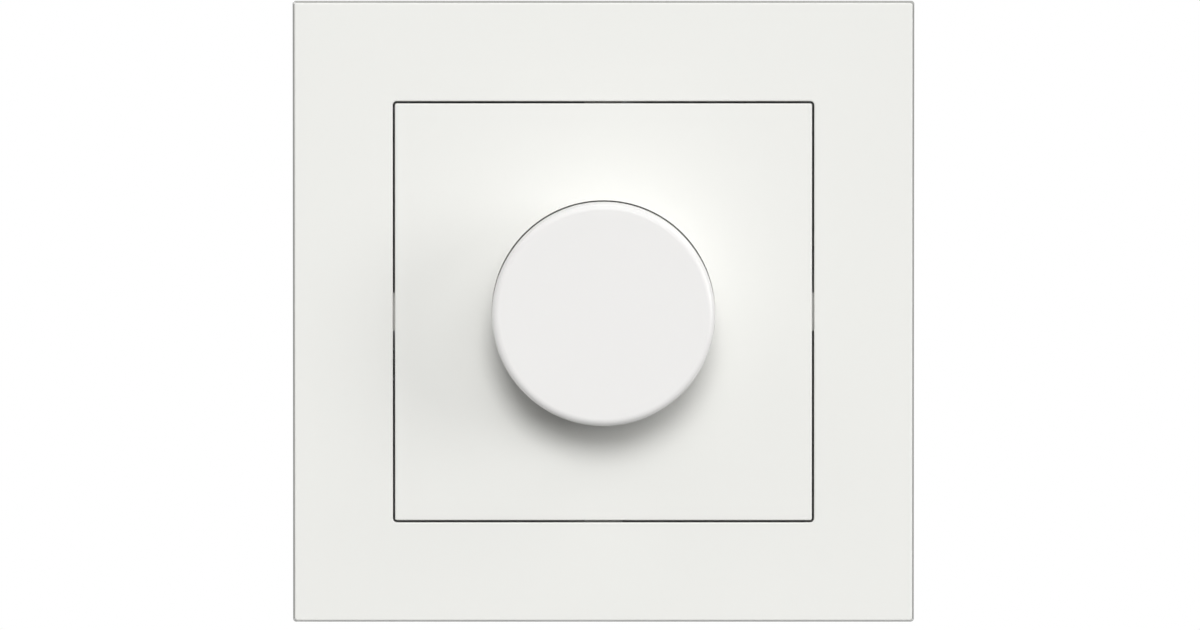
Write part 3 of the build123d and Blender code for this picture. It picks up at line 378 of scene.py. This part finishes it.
def bent_leaf(name, low, high):
    """A leaf spring: a flat strip carried along a line with one rounded bend, in a plane square to X.

    The line runs along +Y for LEAF_LEG, turns towards -Z with the radius LEAF_BEND, and ends LEAF_REACH below
    the leg and LEAF_DROP back from the corner. Its heading grows evenly over the bend's arc and is steady
    before and after it. The strip is as wide as the box from low to high, and its section is a rectangle
    with LEAF_EDGE taken off its four edges.
    """
    turn = np.pi - np.arctan2(LEAF_REACH, LEAF_DROP)
    cut = LEAF_BEND * np.tan(turn / 2)
    arc = LEAF_BEND * turn
    length = LEAF_LEG - cut + arc + np.hypot(LEAF_REACH, LEAF_DROP) - cut
    step = np.linspace(0.0, length, LEAF_STEPS)
    heading = turn * np.clip((step - (LEAF_LEG - cut)) / arc, 0.0, 1.0)
    halfway = (heading[1:] + heading[:-1]) / 2
    pace = step[1]
    half, flat = (high.x - low.x) / 2, LEAF_THICKNESS / 2
    y = low.y + pace * np.concatenate([[0.0], np.cumsum(np.cos(halfway))])
    z = high.z - flat - pace * np.concatenate([[0.0], np.cumsum(np.sin(halfway))])
    inner, level = half - LEAF_EDGE, flat - LEAF_EDGE
    across = np.array([-half, -half, -inner, inner, half, half, inner, -inner])
    out = np.array([-level, level, flat, flat, level, -level, -flat, -flat])
    points = np.stack(
        [
            np.broadcast_to((low.x + high.x) / 2 + across, (LEAF_STEPS, across.size)),
            y[:, None] + out * np.sin(heading)[:, None],
            z[:, None] + out * np.cos(heading)[:, None],
        ],
        axis=-1,
    )
    return surface(name, points, FINISHES["spring_steel"], closed=True)


for number in (1, 2, 3):
    low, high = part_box(f"clamp_spring_{number}")
    leaf = bent_leaf(f"clamp_leaf_{number}", low, high)
    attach(leaf, "base")
    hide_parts(f"clamp_spring_{number}")
    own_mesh(leaf)


# Floor

FLOOR_LEVEL = -0.2
FLOOR_REACH = 2.5
FLOOR_FADE_START = 0.8
FLOOR_LINES = 12


def floor_finish():
    """Matte and pale. It fades out in a circle, up to the floor's reach, and from below it is see-through."""
    finish = plastic(
        "floor_pale",
        colour=(0.66, 0.66, 0.655),
        dullness=0.6,
        grain=600.0,
        depth=0.02,
        mottle=0.01,
        flow=6.0,
        Specular_IOR_Level=0.0,
    )
    wiring = Wiring(finish.node_tree)
    underside = wiring.node("ShaderNodeNewGeometry").outputs["Backfacing"]
    distance = wiring.node("ShaderNodeVectorMath", operation="LENGTH")
    wiring.link(wiring.node("ShaderNodeTexCoord").outputs["Object"], distance.inputs["Vector"])
    fade = wiring.node("ShaderNodeMapRange", interpolation_type="SMOOTHSTEP")
    wiring.set(fade, From_Min=FLOOR_FADE_START, From_Max=FLOOR_REACH, To_Min=1.0, To_Max=0.0)
    wiring.link(distance.outputs["Value"], fade.inputs["Value"])
    shown = wiring.math("MULTIPLY", wiring.math("SUBTRACT", 1.0, underside), fade.outputs["Result"])
    wiring.link(shown, finish.node_tree.nodes["Principled BSDF"].inputs["Alpha"])
    return finish


def pale_floor():
    """A flat square floor: x and y run evenly over its reach, at one level."""
    side = np.linspace(-FLOOR_REACH, FLOOR_REACH, FLOOR_LINES)
    y, x = np.meshgrid(side, side, indexing="ij")
    points = np.stack([x, y, np.full_like(x, FLOOR_LEVEL)], axis=-1)
    floor = surface("floor", points, floor_finish(), closed=False)
    floor.visible_diffuse = False
    floor.visible_shadow = False


pale_floor()


# Light


def stand(name, held, facing):
    """A stand in the scene that holds a lamp or a camera and turns it along facing."""
    made = bpy.data.objects.new(name, held)
    made.rotation_mode = "QUATERNION"
    made.rotation_quaternion = facing.to_track_quat("-Z", "Y")
    scene.collection.objects.link(made)
    return made


def distant_lamp(name, tilt, turn, softness, strength, glints):
    """A soft lamp far away. All angles are in degrees.

    tilt is how far it stands off the knob's axis, turn is its place round that axis, clockwise from straight
    up as seen from the front, and softness is how wide it looks from the object. A lamp that glints shows as
    a highlight on glossy finishes.
    """
    off, around = np.radians(tilt), np.radians(turn)
    towards = Vector((np.sin(off) * np.sin(around), -np.cos(off), np.sin(off) * np.cos(around)))
    lamp = bpy.data.lights.new(name, "SUN")
    lamp.energy = strength
    lamp.angle = np.radians(softness)
    stand(name, lamp, -towards).visible_glossy = glints


# name, tilt, turn, softness, strength, glints
LAMPS = (
    ("front_upper", 18, 2, 16, 1.08, False),
    ("front_soft", 18, 2, 28, 0.7, False),
    ("front_upper_right", 13, 22, 16, 0.43, False),
    ("front_right", 26, 50, 16, 0.16, False),
    ("upper", 35, 0, 28, 0.186, True),
    ("upper_right", 55, 36, 28, 0.095, True),
    ("upper_left", 55, 324, 28, 0.092, True),
    ("right", 55, 80, 28, 0.72, True),
    ("top_right", 75, 45, 28, 0.292, True),
    ("top_left", 75, 315, 28, 0.137, True),
    ("side_top_right", 92, 45, 28, 0.363, True),
    ("top", 84, 0, 28, 0.35, True),
    ("back_upper", 145, 315, 15, 1.2, True),
    ("back_lower", 145, 135, 28, 0.7, False),
)
for lamp_settings in LAMPS:
    distant_lamp(*lamp_settings)

# Strength of the sky towards +X and -X, +Y and -Y, +Z and -Z
SKY = {"X": (0.28, 0.65), "Y": (0.046, 0.0), "Z": (0.0, 0.2)}
WHITE = (1.0, 1.0, 1.0, 1.0)


def studio_world():
    """White behind the object. As light, a sky blended from six strengths.

    Each axis takes its strength for the side that a direction points to, times the square of the direction's
    share along that axis. The three squares add up to one.
    """
    world = bpy.data.worlds.new("studio")
    scene.world = world
    world.use_nodes = True
    world.node_tree.nodes.clear()
    wiring = Wiring(world.node_tree)
    parts = wiring.node("ShaderNodeSeparateXYZ")
    wiring.link(wiring.node("ShaderNodeTexCoord").outputs["Generated"], parts.inputs["Vector"])
    light = 0.0
    for axis, strengths in SKY.items():
        for sign, strength in zip((1.0, -1.0), strengths):
            share = wiring.math("MAXIMUM", wiring.math("MULTIPLY", parts.outputs[axis], sign), 0.0)
            lobe = wiring.math("MULTIPLY", wiring.math("POWER", share, 2.0), strength)
            light = wiring.math("ADD", lobe, light)
    sky = wiring.set(wiring.node("ShaderNodeBackground"), Color=WHITE)
    wiring.link(light, sky.inputs["Strength"])
    backdrop = wiring.set(wiring.node("ShaderNodeBackground"), Color=WHITE)
    mix = wiring.node("ShaderNodeMixShader")
    wiring.link(wiring.node("ShaderNodeLightPath").outputs["Is Camera Ray"], mix.inputs["Fac"])
    for background, socket in zip((sky, backdrop), mix.inputs[1:]):
        wiring.link(background.outputs["Background"], socket)
    output = wiring.node("ShaderNodeOutputWorld")
    wiring.link(mix.outputs["Shader"], output.inputs["Surface"])


studio_world()


# Camera

CAMERA_DISTANCE = 1.07
CAMERA_ELEVATION = np.radians(1.37)
CAMERA_LENS = 245.2
CAMERA_SENSOR = 36.0
CAMERA_NEAREST = 0.05
AIM = Vector((-0.455 * MM, -9.5 * MM, -0.4 * MM))


def photo_camera():
    """The camera in front of the knob, a little above its middle."""
    camera = bpy.data.cameras.new("camera")
    camera.lens = CAMERA_LENS
    camera.sensor_width = CAMERA_SENSOR
    camera.clip_start = CAMERA_NEAREST
    back = Vector((0.0, -float(np.cos(CAMERA_ELEVATION)), float(np.sin(CAMERA_ELEVATION))))
    tripod = stand("camera", camera, -back)
    tripod.location = AIM + back * CAMERA_DISTANCE
    scene.camera = tripod


photo_camera()
scene.view_settings.view_transform = "Standard"
scene.view_settings.look = "None"
